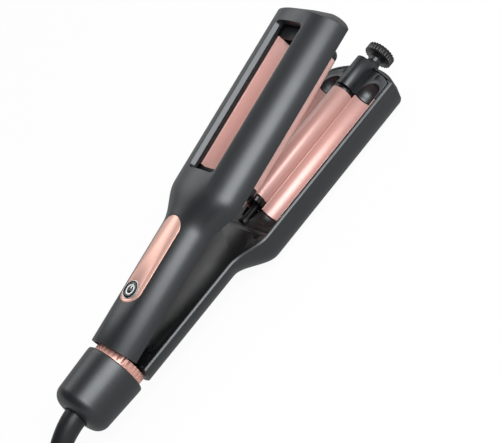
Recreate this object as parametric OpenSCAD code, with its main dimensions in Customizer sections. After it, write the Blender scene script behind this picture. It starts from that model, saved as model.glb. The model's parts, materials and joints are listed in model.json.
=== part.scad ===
// Hair waver: two arms hinged at the tail, a fixed pair of grooves and a height-adjustable
// barrel in the lower arm, and two barrels in the upper arm. All lengths are millimetres.
// Lengths along an arm start at the rear end of its handle. Heights start at the lower rim.

/* [Head] */
// Width of the heads across their shells
head_w = 54; // [53:0.5:58]
// Depth of the lower head below its rim
lower_head_h = 22; // [21:0.5:25]
// Height of the upper head above its rim
upper_head_h = 17.4; // [17:0.2:20]
// Length of an arm from the rear of its handle to the middle of its tip
arm_len = 218.8; // [217:0.2:222]
// Radius of the bowed tip, seen from above
tip_r = 56; // [52:1:62]
// How far the corners of the tip fall back behind the bow
corner_drop = 1.2; // [0.6:0.2:3]
// How far the upper head's crown falls back behind its rim at the tip
upper_tip_lean = 9.5; // [8:0.25:10]
// How far the lower head's floor falls back behind its rim at the tip
lower_tip_lean = 3; // [2:0.25:4]

/* [Handle] */
// Width of the handle at its rims
handle_w = 34.8; // [34.4:0.2:36.8]
// Height of each half of the handle from its rim
handle_h = 14.8; // [14.4:0.2:16.4]
// Gap between the two rims when the arms are closed
rim_gap = 5.6; // [5.2:0.2:6.4]
// Where the shoulder begins to widen
shoulder_start = 73; // [71:1:75]
// Where the shoulder reaches the full width of the head
shoulder_end = 97; // [94:1:99]
// Angle between the arms at rest
open_angle = 10.4; // [9:0.2:11]

/* [Shells] */
// Wall of both shells
wall = 1.7; // [1.5:0.1:2]
// Clearance of a piece that sits inside a shell
seat_gap = 0.2; // [0.15:0.05:0.3]
// Thickness of the inner covers of the handle
liner_t = 2; // [1.6:0.1:2.4]
// Depth of the inner covers inside the rims
liner_drop = 1.2; // [0.8:0.1:1.6]
// Height of the arch in the front of the upper shell
notch_h = 5.8; // [5.4:0.2:6.4]
// Half width of that arch
notch_r = 9; // [8.4:0.2:9.6]

/* [Window] */
// Rear end of the window in the crown
window_start = 105.7; // [104:0.5:108]
// Length of the window
window_len = 95.5; // [92:0.5:97]
// Width of the window
window_w = 22; // [20:0.5:23]
// Corner radius of the window
window_r = 3; // [2:0.5:4]
// Depth of the walls that hang from the window's edge
window_lip = 4.2; // [3.6:0.2:5]
// Thickness of those walls
lip_t = 1.1; // [0.9:0.1:1.3]

/* [Plates] */
// Rear end of the grooves and barrels
plate_start = 111; // [110:0.5:113]
// Length of the two grooves
groove_len = 86.5; // [82:0.5:88]
// Length of the two upper barrels
barrel_len = 83.5; // [78:0.5:85]
// Inner radius of the grooves
groove_r = 7.6; // [7.4:0.1:7.8]
// Sheet thickness of the grooves
groove_t = 1; // [0.8:0.1:1.1]
// Distance of a groove's or upper barrel's middle from the arm's middle
groove_y = 15.8; // [15.7:0.05:15.9]
// Outer radius of the upper barrels
barrel_r = 6.4; // [6:0.1:6.8]
// Depth of the upper barrels' axes below their rim
barrel_drop = 4.1; // [3.7:0.1:4.4]
// Height of the upper barrels' inner walls above their rim
barrel_wall_h = 10.4; // [9.6:0.2:11]
// Sheet thickness of the barrels
barrel_t = 1.2; // [1:0.1:1.3]
// Radius of the middle barrel
middle_r = 6.7; // [6.5:0.05:6.75]
// Height of the middle barrel's crown above the rim at its lowest setting
middle_h = 8.2; // [8:0.1:8.6]
// Depth of the middle barrel's skirt below the rim
middle_skirt = 9; // [8:0.5:10]
// Height of the heater strips
heater_h = 2.4; // [2:0.2:2.6]

/* [Depth dial] */
// Height of the dial's axis below the rim
dial_drop = 1.8; // [1.6:0.1:2]
// Diameter of the dial
dial_d = 17.2; // [15:0.2:18]
// Thickness of the dial's knurled rim
dial_t = 5; // [4.4:0.2:5.4]
// Number of grooves round the dial
dial_teeth = 26; // [20:1:30]
// Length of the neck between the tip and the dial
neck_len = 7.4; // [6.6:0.2:7.8]
// Diameter of the cam shaft
shaft_d = 4; // [3.8:0.1:4.2]
// How far the dial lifts the middle barrel
lift = 3; // [2.6:0.1:3.1]
// Turn of the dial over that lift, in degrees
dial_turn = 270; // [240:5:280]
// Radius of the cams at their lowest point
cam_r = 2.1; // [2.05:0.05:2.15]
// Radial clearance of shafts and pins in their bores
run_gap = 0.05; // [0.03:0.01:0.08]
// Gap between moving pieces that only pass each other
pass_gap = 0.3; // [0.25:0.05:0.35]

/* [Post] */
// Half width of the post at the tip
post_r = 5.5; // [5.2:0.1:5.8]
// Height of the post above the rim
post_h = 8.5; // [8:0.1:8.6]
// Distance of the tip screws from the middle
tip_screw_y = 13.7; // [12.5:0.1:14.5]

/* [Tail] */
// Distance of the hinge pin behind the handle
pivot_back = 9; // [8.8:0.1:9.6]
// Diameter of the hinge pin
pin_d = 3; // [2.6:0.1:3.2]
// Outer radius of the ribbed ring
ring_r = 15.1; // [14.9:0.1:15.2]
// Length of the ribbed ring
ring_len = 4.8; // [4.6:0.1:5]
// Number of ribs round the ring
ring_ribs = 32; // [24:1:40]
// Outer radius of the fixed neck that the ring turns on
neck_r = 12.4; // [12.2:0.05:12.6]
// Radius of the tail cap at its front
cap_r = 17.7; // [17.2:0.1:18]
// Length of the tail cap
cap_len = 32.8; // [32:0.2:36]
// Wall of the tail cap
cap_wall = 1.8; // [1.6:0.1:2]

/* [Controls] */
// Rear end of the rose-gold trim
trim_start = 24.6; // [23:0.5:26]
// Length of the trim
trim_len = 53.5; // [50:0.5:55]
// Width of the trim
trim_w = 15.6; // [14.5:0.1:16]
// Distance from the trim's rear end to the middle of the button
button_in = 7.4; // [7.2:0.1:8]
// Diameter of the button
button_d = 9.4; // [9:0.1:9.8]
// Travel of the button
button_travel = 0.6; // [0.4:0.05:0.7]

/* [Cord] */
// Diameter of the cord
cord_d = 6.5; // [6.3:0.1:6.5]
// Diameter of the strain relief where it leaves the cap
boot_d = 13.3; // [12.4:0.1:13.6]
// Diameter of the strain relief at its thin end
boot_end_d = 8.6; // [8:0.2:9.4]

/* [Hidden] */
$fn = 64;
e = 0.01;

// Places along the arm
pivot_x = -pivot_back;
axis_z = rim_gap / 2;
groove_end = plate_start + groove_len;
barrel_end = plate_start + barrel_len;
window_end = window_start + window_len;
tip_front = arm_len;
head_a = head_w / 2;
handle_a = handle_w / 2;
lower_n = 3;
upper_n = 2.2;
floor_cut = 0.6;
arc_steps = 44;
shoulder_steps = 12;
tip_curve = 1.5;
lower_upright = 0.5;
upper_upright = 0.04;
tip_steps = 28;

// The flat under the lower head: its middle is the origin
rest_from = shoulder_end + 6;
rest_to = tip_front - 16.3;
rest_x = (rest_from + rest_to) / 2;

// Plates and what carries them
groove_gap = 0.5;
tip_from = groove_end + groove_gap;
block_len = 11.5;
bowl_len = 2;
rear_bowl_len = 0.9;
block_to = plate_start - groove_gap;
block_from = block_to - block_len;
bearing_from = block_from + 1.2;
bearing_to = bearing_from + 3;
bearing_r = 3.2;
leaf_len = 11;
leaf_half = 5.6;
leaf_depth = 7;
middle_start = plate_start + 5;
middle_end = groove_end - 2.4;
middle_cap_t = 1.8;
middle_rear_t = 3.8;
middle_in = middle_r - barrel_t;
middle_zc = middle_h - middle_r;
base_t = 2;
base_w = 40;
foot_w = 20;
base_z = -middle_skirt - 5;
pad_w = 9;
pad_drop = groove_r + groove_t;
heater_len = 62;
heater_from = plate_start + (groove_len - heater_len) / 2;

// Dial and cams
dial_z = -dial_drop;
cam_rise = lift / dial_turn;
cam_len = 6;
cam_x = [plate_start + 18, groove_end - 20];
follower_z = dial_z + cam_r + pass_gap;
spine_w = 6;
spine_top = middle_zc + sqrt(pow(middle_in, 2) - pow(spine_w / 2, 2)) - 0.1;
spine_t = 1.6;
guide_x = [middle_start + 5, middle_end - 5];
guide_d = 2;
guide_w = 2 * middle_in - 0.3;
guide_len = 5;
bridge_t = 2.4;
bush_r = 4.4;
bush_len = 7;
collar_x = tip_front + 3;
dial_x = tip_front + neck_len;
face_r = dial_d / 2 - 2;

// Post, screws and notch
post_zc = post_h - post_r;
screw_d = 1.6;
screw_head_d = 2.8;
screw_head_h = 0.8;
tip_screw_x = tip_front - 6.3;
lower_screws_at = [[11.4, 8.7], [95.3, 16.8]];
upper_screw_x = [40, 88];
liner_screw_len = 6;
upper_screw_len = 4;
tip_screw_len = 7;
tip_block_h = 8.4;
tip_block_back = 0.4;

// Tail
ring_front = -1.4;
ring_back = ring_front - ring_len;
cap_front = ring_back - 0.2;
cap_end = cap_front - cap_len;
cap_rear_r = cap_r - 1.1;
cap_round = 7;
neck_wall = 2;
neck_back = cap_front - 16;
saddle_len = 8;
saddle_z = -liner_drop - liner_t - 0.3;
flange_r = cap_r - cap_wall - 0.1;
flange_t = 2;
ear_t = 2.4;
ear_len = 10;
tongue_w = 9.4;
tongue_r = 4;
tongue_bend = -2;
tongue_end = 8;
foot_half = 7;
foot_len = 3.6;
tongue_top = 4.2;
spring_x = 14.2;
spring_d = 6.4;
spring_wire = 0.9;
spring_turns = 6;
cup_x = 15;
cup_r = 5.8;
cup_bore_r = 4.7;
cup_hang = 2;
cup_roof = 4;

// Swivel
swivel_r = 4.6;
socket_t = 4;
socket_x = cap_end + 8;
swivel_head_r = 6;
swivel_head_t = 2;
core_gap = 0.1;
ring_pair_d = 8;

// Controls
button_x = trim_start + button_in;
bezel_t = 0.8;
button_h = 4.4;
board_w = 17;
board_len = 56;
board_from = 22;
board_t = 1.4;
board_z = 4.6;
board_post_r = 2;
board_post_x = [board_from + 5, board_from + board_len - 5];
switch_h = 3.4;
crown_z = handle_h;
upper_liner_end = window_start - 5;
deck_z = notch_h + 0.6;
deck_t = 1.8;

// The cord's route: boot, lead, a tied hank on the floor, and the plug's end inside it
hank_run = 90;
hank_fold = 19.5;
hank_columns = 2;
hank_layers = 3;
hank_slack = 0.3;
hank_r = [hank_fold - cord_d / 2, hank_fold + (hank_columns - 0.5) * cord_d + hank_slack];
hank_h = hank_layers * cord_d;
tie_x = 16;
tie_w = 7;
tie_t = 0.8;
plug_len = 34;
cord_exit = [cap_end - rest_x, 0, lower_head_h + axis_z];
hank_x = cord_exit.x - 154.05;
boot_route = [
    [3, 0, 0], [0, 0, 0], [-4, 0, -0.5], [-8, 0, -1.4], [-12, 0, -2.7], [-16, 0, -4.4],
    [-20, 0, -6.4], [-24, 0, -8.6], [-28, 0, -10.9], [-32, 0, -13.1], [-36, 0, -15.1]
];
lead_route = [
    [-36, 0, -15.1], [-40, 0, -17.1], [-44, 0, -18.7], [-48, 0, -19.8], [-53, 0, -20.7],
    [-60, 0.6, -21.2], [-66.7, 2.4, -21.45], [-73, 5.4, -21.55], [-79, 9.4, -21.55],
    [-86.2, 15, -21.55], [-92.6, 20, -21.55], [-98, 23.4, -21.55], [-104, 25.5, -21.55],
    [-110, 26, -21.55]
];
plug_lead = [
    [46, 19.5, 3.25], [43, 19.5, 3.25], [36.8, 18.8, 3.4], [30.8, 16.9, 3.8], [25.4, 13.8, 4.1],
    [20.9, 9.8, 4.2], [16.4, 5.7, 4.2], [11, 2.6, 4.1], [5, 0.7, 3.5], [-1.2, 0, 3.25],
    [-6, 0, 3.25]
];
plug_from = [hank_x, 0, 0] + plug_lead[len(plug_lead) - 1];

// ---------- Shared shapes ----------

function signed_pow(v, p) = sign(v) * pow(abs(v), p);

// How far the shoulder has opened at x, from 0 to 1
function shoulder(x) =
    let (t = max(0, min(1, (x - shoulder_start) / (shoulder_end - shoulder_start))))
    t * t * (3 - 2 * t);

function blend(from, to, t) = from + (to - from) * t;

// Where the bowed tip ends at y, for an outline set in by inset
function tip_x(y, inset) =
    let (s = abs(y) * head_a / (head_a - inset))
    tip_front - inset - tip_r + sqrt(pow(tip_r, 2) - pow(s, 2)) - corner_drop * pow(s / head_a, 12);

// Half width and depth of an arm's outside at x, set in by inset
function arm_a(x, inset) = blend(handle_a, head_a, shoulder(x)) - inset;
function arm_d(x, head_h, inset) = blend(handle_h, head_h, shoulder(x)) - inset;

// One section of an arm, from the right rim round the outside to the left rim
function section(x, head_h, n, inset, flat_z) =
    let (a = arm_a(x, inset), d = arm_d(x, head_h, inset), p = 2 / blend(2, n, shoulder(x)))
    [for (i = [0:arc_steps])
        let (t = 180 * i / arc_steps)
        [x, -a * signed_pow(cos(t), p), i % arc_steps == 0 ? 0 : max(flat_z, -d * pow(sin(t), p))]];

// The same section pushed forward to the bowed tip, leaning back by lean at full depth
function tip_section(head_h, n, inset, flat_z, lean) =
    [for (q = section(tip_front - 10, head_h, n, inset, flat_z))
        [tip_x(q.y, inset) - lean * pow(-q.z / (head_h - inset), tip_curve), q.y, q.z]];

// The row where the tip begins to lean, at part of its depth, and the row at its rim
function tip_row(inset, ring, part) = [for (q = ring) [tip_x(q.y, inset), q.y, part * q.z]];

function arm_stations(start) = concat(
    [start],
    [for (i = [0:shoulder_steps]) blend(shoulder_start, shoulder_end, i / shoulder_steps)],
    [tip_front - 18]);

function arm_sections(head_h, n, inset, start, flat_z, lean) = concat(
    [for (x = arm_stations(start)) section(x, head_h, n, inset, flat_z)],
    [tip_section(head_h, n, inset, flat_z, lean)]);

// Faces of a strip between two rows of points that start at a and b
function strip(a, b, count) = [for (j = [0:count - 1]) [a + j, a + j + 1, b + j + 1, b + j]];

// A hollow arm below its rim, closed at the bowed tip and, unless rear_open, at the rear.
// Its tip stands upright for part of its depth and leans back from there.
module arm_shell(head_h, n, flat_z, rear_open, lean, upright) {
    outer = arm_sections(head_h, n, 0, 0, flat_z, lean);
    inner = arm_sections(head_h, n, wall, rear_open ? 0 : wall, flat_z + wall, lean);
    k = arc_steps;
    row = k + 1;
    m = len(outer);
    in0 = m * row;
    last = (m - 1) * row;
    in_last = in0 + last;
    out_fold = 2 * m * row;
    in_fold = out_fold + row;
    out_rim = in_fold + row;
    in_rim = out_rim + row;
    polyhedron(
        points = concat(
            [for (s = outer) each s],
            [for (s = inner) each s],
            tip_row(0, outer[m - 1], upright),
            tip_row(wall, inner[m - 1], upright),
            tip_row(0, outer[m - 1], 0),
            tip_row(wall, inner[m - 1], 0)),
        faces = concat(
            [for (i = [0:m - 2]) each strip((i + 1) * row, i * row, k)],
            [for (i = [0:m - 2]) each strip(in0 + i * row, in0 + (i + 1) * row, k)],
            [for (i = [0:m - 2]) [i * row, in0 + i * row, in0 + (i + 1) * row, (i + 1) * row]],
            [for (i = [0:m - 2])
                [(i + 1) * row + k, in0 + (i + 1) * row + k, in0 + i * row + k, i * row + k]],
            rear_open ? strip(0, in0, k)
                : [[for (j = [0:k]) j], [for (j = [k:-1:0]) in0 + j], [k, in0 + k, in0, 0]],
            [for (f = tip_wall(last, out_fold, out_rim, k)) [f[2], f[1], f[0]]],
            tip_wall(in_last, in_fold, in_rim, k),
            [for (j = [1:k - 2]) [out_rim + j, in_rim + j, in_rim + j + 1, out_rim + j + 1]],
            [[last, in_last, in_rim + 1, out_rim + 1],
                [out_rim + k - 1, in_rim + k - 1, in_last + k, last + k]]));
}

// Triangles of a tip wall from its deep edge over the fold up to the rim
function tip_wall(deep, fold, rim, k) = concat(
    [for (j = [1:k - 2]) each [[deep + j, deep + j + 1, fold + j], [fold + j, deep + j + 1, fold + j + 1]]],
    [for (j = [1:k - 2]) each [[fold + j, fold + j + 1, rim + j], [rim + j, fold + j + 1, rim + j + 1]]],
    [[deep, deep + 1, fold + 1], [deep, fold + 1, rim + 1]],
    [[deep + k - 1, deep + k, fold + k - 1], [fold + k - 1, deep + k, rim + k - 1]]);

// Half width of the space inside an arm at x, measured at depth z below the rim
function inside_w(x, head_h, n, z) =
    let (inset = wall + seat_gap, p = blend(2, n, shoulder(x)), d = arm_d(x, head_h, inset))
    arm_a(x, inset) * pow(1 - pow(z / d, p), 1 / p);

// Plan outline of a cover that fills the space inside an arm between two places
function cover_outline(head_h, n, from, to, z) =
    let (stations = concat([from], [for (x = arm_stations(from)) if (x > from && x < to) x], [to]))
    concat(
        [for (x = stations) [x, -inside_w(x, head_h, n, z)]],
        [for (i = [len(stations) - 1:-1:0]) [stations[i], inside_w(stations[i], head_h, n, z)]]);

// Plan outline of what fills the tip of an arm from a given place, at depth z, held back by back
function tip_outline(head_h, n, from, z, back) =
    let (w = inside_w(tip_front - 10, head_h, n, z), inset = wall + seat_gap)
    concat(
        [[from, -w]],
        [for (i = [0:tip_steps]) let (y = blend(-w, w, i / tip_steps)) [tip_x(y, inset) - back, y]],
        [[from, w]]);

// A solid through a list of rings with the same number of points
module loft(rings) {
    n = len(rings[0]);
    m = len(rings);
    polyhedron(
        points = [for (s = rings) each s],
        faces = concat(
            [[for (j = [n - 1:-1:0]) j]],
            [for (i = [0:m - 2]) for (j = [0:n - 1])
                [i * n + j, i * n + (j + 1) % n, (i + 1) * n + (j + 1) % n, (i + 1) * n + j]],
            [[for (j = [0:n - 1]) (m - 1) * n + j]]));
}

// A cylinder along the arm from x0 to x1
module rod(r, x0, x1, y = 0, z = 0) {
    translate([x0, y, z]) rotate([0, 90, 0]) cylinder(r = r, h = x1 - x0);
}

// A profile given as [y, z], swept along the arm from x0 to x1
module bar(x0, x1) {
    translate([x0, 0, 0]) rotate([90, 0, 90]) linear_extrude(x1 - x0) children();
}

// A profile given as [radius, distance behind the origin], turned about the tail's axis
module tail_turn() {
    translate([0, 0, axis_z]) rotate([0, -90, 0]) rotate_extrude($fn = 96) children();
}

module box(from, to) {
    translate(from) cube(to - from);
}

// Frames: the lower arm, and the upper arm swung open about the hinge pin
module lower_arm() {
    translate([-rest_x, 0, lower_head_h]) children();
}

module upper_arm() {
    lower_arm()
        translate([pivot_x, 0, axis_z]) rotate([0, -open_angle, 0])
        translate([-pivot_x, 0, rim_gap - axis_z]) children();
}

module both_sides() {
    children();
    mirror([0, 1, 0]) children();
}

// ---------- Lower arm ----------

module lower_shell() {
    slot_r = bush_r + seat_gap;
    color("#3d4043") lower_arm() difference() {
        arm_shell(lower_head_h + floor_cut, lower_n, -lower_head_h, false, lower_tip_lean, lower_upright);
        rod(neck_r + 0.05, -1, wall + 1, 0, axis_z);
        rod(slot_r, tip_front - 5, tip_front + 1, 0, dial_z);
        box([tip_front - 5, -slot_r, dial_z], [tip_front + 1, slot_r, 1]);
    }
}

module lower_liner() {
    bottom = liner_drop + liner_t;
    color("#141517") lower_arm() difference() {
        translate([0, 0, -bottom]) linear_extrude(liner_t)
            polygon(cover_outline(lower_head_h, lower_n, wall + seat_gap, block_from - seat_gap, bottom));
        translate([spring_x, 0, -liner_drop - liner_t / 2])
            cylinder(r = spring_d / 2 + 0.6, h = liner_t);
        both_sides() for (p = lower_screws_at) translate([p.x, p.y, -bottom - 1])
            cylinder(d = screw_d + 2 * run_gap, h = liner_t + 2);
    }
}

module liner_screws() {
    color("#8d8f92") lower_arm() both_sides() for (p = lower_screws_at)
        translate([p.x, p.y, -liner_drop]) pan_screw(liner_screw_len);
}

// A pan-head screw whose head rests on z = 0 and whose thread hangs below
module pan_screw(length) {
    difference() {
        cylinder(d = screw_head_d, h = screw_head_h);
        for (a = [0, 90]) rotate(a)
            translate([-0.8, -0.15, screw_head_h - 0.4]) cube([1.6, 0.3, 1]);
    }
    translate([0, 0, -length]) cylinder(d = screw_d, h = length + e);
}

// Tray that carries the grooves, the guide pins and the rear bearing of the cam shaft
module lower_chassis() {
    foot_z = -lower_head_h + wall + seat_gap;
    color("#232426") lower_arm() difference() {
        union() {
            box([plate_start, -base_w / 2, base_z - base_t], [groove_end, base_w / 2, base_z]);
            for (x = [plate_start + 4, groove_end - 7])
                box([x, -foot_w / 2, foot_z], [x + 3, foot_w / 2, base_z - base_t + e]);
            both_sides() for (x = [plate_start + 2, groove_end - 5])
                box([x, groove_y - 4, base_z - e], [x + 3, groove_y + 4, -pad_drop - 1.2]);
        }
        for (x = guide_x) translate([x, 0, base_z - base_t - 1]) cylinder(d = guide_d, h = base_t + 2);
    }
}

// One heated groove with the flat pad that its heater is clamped to
module groove() {
    bar(plate_start, groove_end) difference() {
        union() {
            circle(r = groove_r + groove_t);
            translate([-pad_w / 2, -pad_drop - 1]) square([pad_w, 5]);
        }
        circle(r = groove_r);
        square_from(-2 * groove_r, 0, 4 * groove_r, 2 * groove_r);
    }
}

module groove_left() {
    color("#d9a39b") lower_arm() translate([0, groove_y, -0.2]) groove();
}

module groove_right() {
    color("#d9a39b") lower_arm() translate([0, -groove_y, -0.2]) groove();
}

module groove_heaters() {
    top = -0.2 - pad_drop - 1;
    color("#c9c4b8") lower_arm() both_sides()
        box([heater_from, groove_y - 3.5, top - heater_h], [heater_from + heater_len, groove_y + 3.5, top]);
}

// Half bowls that the round ends of the upper barrels sink into, len beyond the grooves
module bowls(len) {
    both_sides() {
        rod(groove_r, -1, len, groove_y, 0);
        translate([len, groove_y, 0]) sphere(r = groove_r);
    }
}

// Block behind the grooves: two half bowls, a pointed well behind the middle barrel and, in
// the well, the rear bearing of the cam shaft
module rear_block() {
    color("#1b1c1e") lower_arm() difference() {
        union() {
            difference() {
                translate([0, 0, -tip_block_h]) linear_extrude(tip_block_h - liner_drop)
                    polygon(cover_outline(lower_head_h, lower_n, block_from, block_to, tip_block_h));
                translate([block_to, 0, 0]) mirror([1, 0, 0]) bowls(rear_bowl_len);
                translate([block_to, 0, -leaf_depth]) linear_extrude(10) leaf_outline();
            }
            rod(bearing_r, bearing_from, bearing_to, 0, dial_z);
            box([bearing_from, -bearing_r, -leaf_depth - e], [bearing_to, bearing_r, dial_z]);
        }
        rod(shaft_d / 2 + run_gap, bearing_from + 0.5, block_to + 1, 0, dial_z);
    }
}

// Pointed arch of the well, seen from above
module leaf_outline() {
    r = (pow(leaf_len, 2) + pow(leaf_half, 2)) / (2 * leaf_half);
    intersection() {
        translate([0, r - leaf_half]) circle(r = r, $fn = 128);
        translate([0, leaf_half - r]) circle(r = r, $fn = 128);
    }
}

module tip_block() {
    post_front = tip_front - 0.4;
    block_front = tip_x(post_r, wall + seat_gap) - tip_block_back - 0.5;
    color("#3d4043") lower_arm() difference() {
        union() {
            translate([0, 0, -tip_block_h]) linear_extrude(tip_block_h)
                polygon(tip_outline(lower_head_h, lower_n, tip_from, tip_block_h, tip_block_back));
            bar(tip_from, post_front) post_profile(0);
            bar(tip_from, block_front) post_profile(-1);
        }
        translate([tip_from, 0, 0]) bowls(bowl_len);
        rod(shaft_d / 2 + pass_gap, tip_from - 1, tip_front - bush_len + 1, 0, dial_z);
        rod(bush_r, tip_front - bush_len, tip_front + 1, 0, dial_z);
        both_sides() translate([tip_screw_x, tip_screw_y, -tip_block_h - 1])
            cylinder(d = screw_d + 2 * run_gap, h = tip_block_h + 2);
        both_sides() translate([tip_screw_x, tip_screw_y, -screw_head_h])
            cylinder(d = screw_head_d + 0.2, h = 2);
    }
}

module post_profile(bottom) {
    intersection() {
        translate([0, post_zc]) circle(r = post_r);
        square_from(-post_r, bottom, 2 * post_r, 2 * post_h);
    }
    square_from(-post_r, bottom, 2 * post_r, post_zc - bottom);
}

module tip_screws() {
    color("#55585b") lower_arm() both_sides()
        translate([tip_screw_x, tip_screw_y, -screw_head_h]) pan_screw(tip_screw_len);
}

// ---------- Depth dial and middle barrel ----------

// Outline of the middle barrel with radius r, hanging down to bottom
module middle_profile(r, bottom) {
    translate([0, middle_zc]) circle(r = r);
    translate([-r, bottom]) square([2 * r, middle_zc - bottom]);
}

module middle_barrel() {
    color("#d9a39b") lower_arm() bar(middle_start, middle_end) difference() {
        middle_profile(middle_r, -middle_skirt);
        middle_profile(middle_in, -middle_skirt - 1);
    }
}

module middle_barrel_caps() {
    ends = [[middle_start - middle_rear_t, middle_start], [middle_end, middle_end + middle_cap_t]];
    color("#141517") lower_arm() for (x = ends)
        bar(x[0], x[1]) difference() {
            middle_profile(middle_r - 0.1, -middle_skirt);
            shaft_slot();
        }
}

// The way the shaft takes through a piece that rises with the barrel
module shaft_slot() {
    r = shaft_d / 2 + pass_gap;
    for (z = [dial_z, dial_z - lift]) translate([0, z]) circle(r = r);
    translate([-r, dial_z - lift]) square([2 * r, lift]);
}

// Carrier inside the barrel: a spine under the crown, two cam followers, two guide blocks
module middle_barrel_core() {
    color("#232426") lower_arm() difference() {
        union() {
            box([guide_x[0], -spine_w / 2, spine_top - spine_t], [guide_x[1], spine_w / 2, spine_top]);
            for (x = cam_x) box([x, -2.4, follower_z], [x + cam_len, 2.4, spine_top - spine_t + e]);
            for (x = guide_x) bar(x - guide_len / 2, x + guide_len / 2) difference() {
                intersection() {
                    middle_profile(middle_in - 0.05, -middle_skirt - 1);
                    translate([-guide_w / 2, -middle_skirt - 1]) square([guide_w, 30]);
                }
                shaft_slot();
            }
        }
        for (x = guide_x) translate([x, 0, -middle_skirt - 2])
            cylinder(d = guide_d + 2 * run_gap, h = bridge_t + 3);
    }
}

module middle_heater() {
    top = spine_top - spine_t;
    from = cam_x[0] + cam_len + 3;
    color("#c9c4b8") lower_arm() box([from, -2.4, top - 1.6], [cam_x[1] - 3, 2.4, top]);
}

module guide_pins() {
    pin_top = dial_z - shaft_d / 2 - 0.6;
    color("#a9acb0") lower_arm() for (x = guide_x)
        translate([x, 0, base_z - base_t]) cylinder(d = guide_d, h = pin_top - base_z + base_t);
}

// Flat spiral whose radius grows evenly over the dial's turn, then drops back
module cam_profile() {
    steps = 48;
    polygon(concat(
        [for (i = [0:steps])
            let (t = dial_turn * i / steps, r = cam_r + cam_rise * t)
            [-r * sin(t), r * cos(t)]],
        [for (i = [1:7])
            let (t = blend(dial_turn, 360, i / 8))
            [-cam_r * sin(t), cam_r * cos(t)]]));
}

module cam_shaft() {
    color("#a9acb0") lower_arm() {
        rod(shaft_d / 2, bearing_from + 0.8, dial_x + dial_t - 0.6, 0, dial_z);
        for (x = cam_x) translate([0, 0, dial_z]) bar(x, x + cam_len) cam_profile();
    }
}

module dial_bush() {
    color("#26282a") lower_arm() difference() {
        rod(bush_r - 0.02, tip_front - bush_len, collar_x, 0, dial_z);
        rod(shaft_d / 2 + run_gap, tip_front - bush_len - 1, collar_x + 1, 0, dial_z);
    }
}

module depth_dial() {
    hub_r = 4;
    r = dial_d / 2;
    body_r = r - 0.7;
    tooth_r = 0.75;
    color("#1c1d1f") lower_arm() difference() {
        translate([dial_x, 0, dial_z]) rotate([0, 90, 0]) union() {
            rotate_extrude($fn = 96) polygon([
                [0, collar_x - dial_x + 0.3], [hub_r, collar_x - dial_x + 0.3], [hub_r, -1.6],
                [hub_r + 2.2, 0], [body_r - 0.6, 0], [body_r, 0.6], [body_r, dial_t - 0.6],
                [body_r - 0.6, dial_t], [face_r + 0.4, dial_t], [face_r, dial_t - 0.4], [0, dial_t - 0.4]
            ]);
            for (i = [0:dial_teeth - 1]) rotate(360 * i / dial_teeth)
                translate([r - tooth_r, 0, 0.4]) cylinder(r = tooth_r, h = dial_t - 0.8, $fn = 24);
        }
        rod(shaft_d / 2, collar_x, dial_x + dial_t - 0.6, 0, dial_z);
    }
}

// Three turned-arrow marks let into the face of the dial
module dial_arrows() {
    ring_mid = face_r - 1.35;
    arrow_w = 0.9;
    head_w2 = 1.1;
    color("#d9a39b") lower_arm()
        translate([dial_x + dial_t - 0.4, 0, dial_z]) rotate([0, 90, 0])
        for (i = [0:2]) mirror([0, 1, 0]) rotate(120 * i + 35) linear_extrude(0.25) union() {
            intersection() {
                difference() {
                    circle(r = ring_mid + arrow_w / 2);
                    circle(r = ring_mid - arrow_w / 2);
                }
                polygon([[0, 0], [20, 0], [20 * cos(35), 20 * sin(35)], [20 * cos(70), 20 * sin(70)]]);
            }
            rotate(68) polygon([[ring_mid - head_w2, 0], [ring_mid + head_w2, 0], [ring_mid, 2]]);
        }
}

// ---------- Tail ----------

// Fixed neck with the hinge ears; its lower half runs into the shell as a saddle
module tail_frame() {
    inner = neck_r - neck_wall;
    ear_y = tongue_w / 2 + pass_gap;
    color("#232426") lower_arm() difference() {
        union() {
            rod(neck_r, neck_back, saddle_len, 0, axis_z);
            rod(flange_r, cap_front - flange_t, cap_front - 0.1, 0, axis_z);
        }
        difference() {
            rod(inner, neck_back - 1, saddle_len + 1, 0, axis_z);
            both_sides() intersection() {
                box([pivot_x - ear_len / 2, ear_y, axis_z - inner],
                    [pivot_x + ear_len / 2, ear_y + ear_t, axis_z + inner]);
                rod(inner + 1, pivot_x - ear_len, pivot_x + ear_len, 0, axis_z);
            }
        }
        box([ring_front + 0.4, -cap_r, saddle_z], [saddle_len + 1, cap_r, axis_z + cap_r]);
        translate([pivot_x, -neck_r, axis_z]) rotate([-90, 0, 0]) cylinder(d = pin_d, h = 2 * neck_r);
    }
}

module hinge_pin() {
    half = tongue_w / 2 + pass_gap + ear_t;
    color("#b9bcc0") lower_arm() translate([pivot_x, -half, axis_z])
        rotate([-90, 0, 0]) cylinder(d = pin_d, h = 2 * half);
}

// Compression spring between the two handle covers, shown at its open length
module opening_spring() {
    z0 = -liner_drop - liner_t / 2;
    r = spring_d / 2 - spring_wire / 2;
    steps = 14;
    n = spring_turns * steps;
    sides = 6;
    pitch = (spring_top - z0 - spring_wire) / spring_turns;
    color("#b9bcc0") lower_arm() loft([for (i = [n:-1:0])
        let (t = 360 * i / steps, z = z0 + spring_wire / 2 + pitch * i / steps)
        [for (j = [0:sides - 1])
            let (a = 360 * j / sides, q = r + spring_wire / 2 * cos(a))
            [spring_x + q * cos(t), q * sin(t), z + spring_wire / 2 * sin(a)]]]);
}

// Height of the upper spring seat at the spring's middle while the arms are open
seat_x = cup_x - pivot_x;
seat_h = rim_gap + cup_roof - axis_z;
spring_top = axis_z + seat_x * sin(open_angle) + seat_h * cos(open_angle) - 1;

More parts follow.
